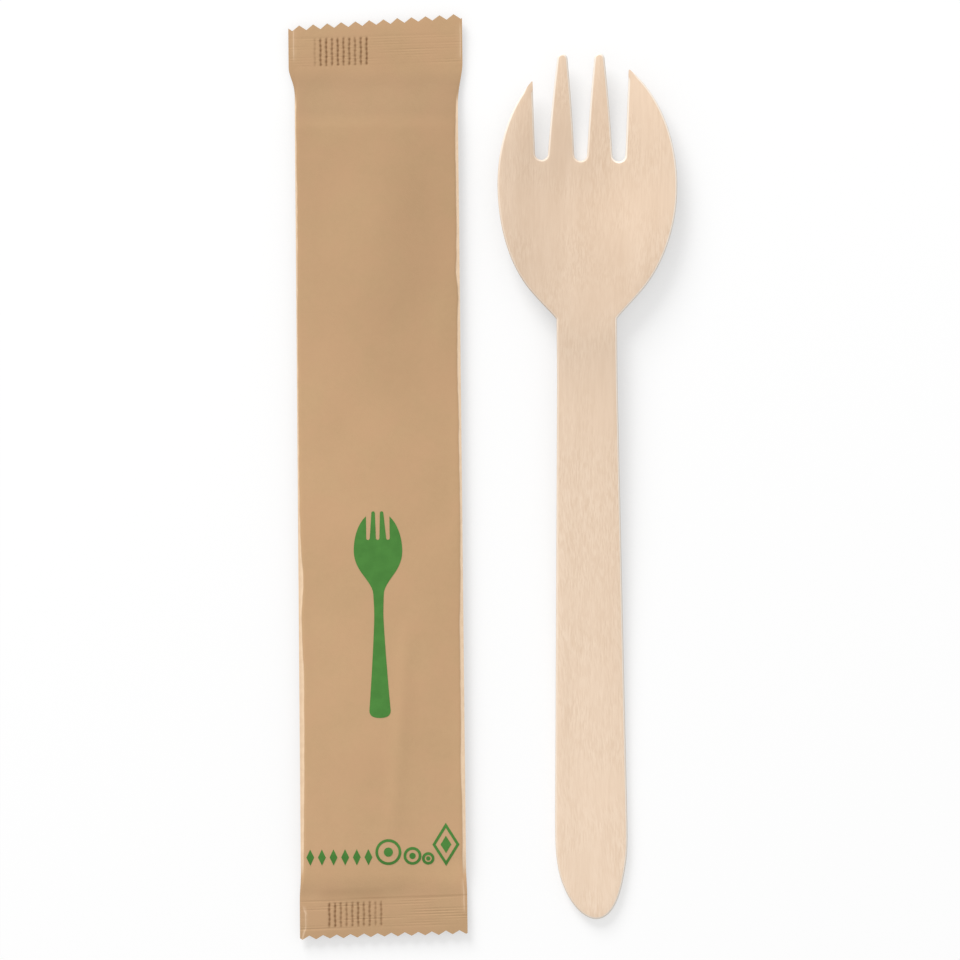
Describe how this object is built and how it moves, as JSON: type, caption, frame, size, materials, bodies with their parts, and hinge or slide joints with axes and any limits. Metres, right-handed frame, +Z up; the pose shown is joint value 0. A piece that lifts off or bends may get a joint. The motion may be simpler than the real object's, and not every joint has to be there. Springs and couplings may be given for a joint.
{
  "type": "wooden cutlery pack",
  "caption": "Sealed kraft paper sachet with pinked ends, lying beside the one-piece pressed wooden spork that such a sachet holds.",
  "frame": {"origin": "on the table under the middle of the whole pack, as it lies", "axes": "+Y along both pieces towards the tines and the sachet's top seal, +X from the sachet to the spork, +Z up from the table"},
  "size_m": [0.072, 0.1712, 0.0047],
  "materials": {
    "kraft_paper": "matt brown kraft paper",
    "birch_wood": "bare sanded birch veneer",
    "green_ink": "flat green print"
  },
  "bodies": {
    "root": {"paper_sachet": "kraft_paper", "wooden_spork": "birch_wood"}
  },
  "joints": []
}
